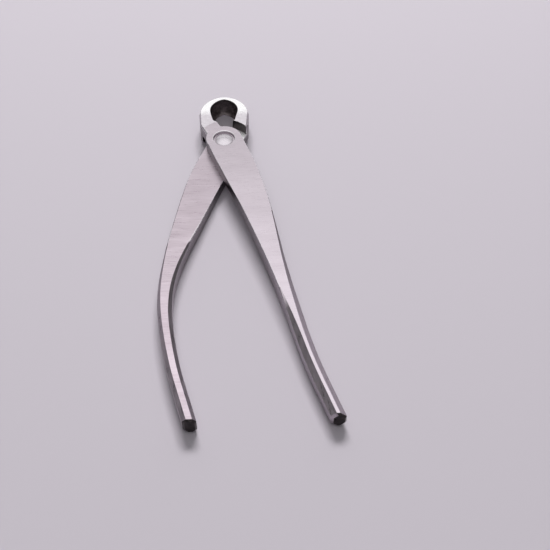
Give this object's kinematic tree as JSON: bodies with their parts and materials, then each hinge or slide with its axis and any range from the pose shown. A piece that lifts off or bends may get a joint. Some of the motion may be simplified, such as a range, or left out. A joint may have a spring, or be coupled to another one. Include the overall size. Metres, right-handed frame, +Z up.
{
  "type": "knob cutter",
  "caption": "Bonsai knob cutter: crossed steel levers on a riveted pivot, with bowed handles and C-shaped hollow jaws that close round a knob on a branch.",
  "frame": {"origin": "pivot axis where it meets the plane that the cutter lies on, at the centre of the rivet's flush tail", "axes": "+X towards the side of the upper lever's handle, +Y towards the jaws' tip, +Z up along the pivot, from the flush tail to the domed head"},
  "size_m": [0.0822, 0.2062, 0.0126],
  "materials": {
    "satin_steel": "satin, ground across the levers",
    "rivet_steel": "smooth, slightly brighter than the levers"
  },
  "bodies": {
    "lower": {"lower_lever": "satin_steel", "pivot_rivet": "rivet_steel"},
    "upper": {"upper_lever": "satin_steel"}
  },
  "joints": [
    {"name": "pivot_hinge", "type": "hinge", "parent": "lower", "child": "upper", "pos_m": [0, 0, 0], "axis": [0, 0, 1], "range_deg": [0, 65]}
  ]
}
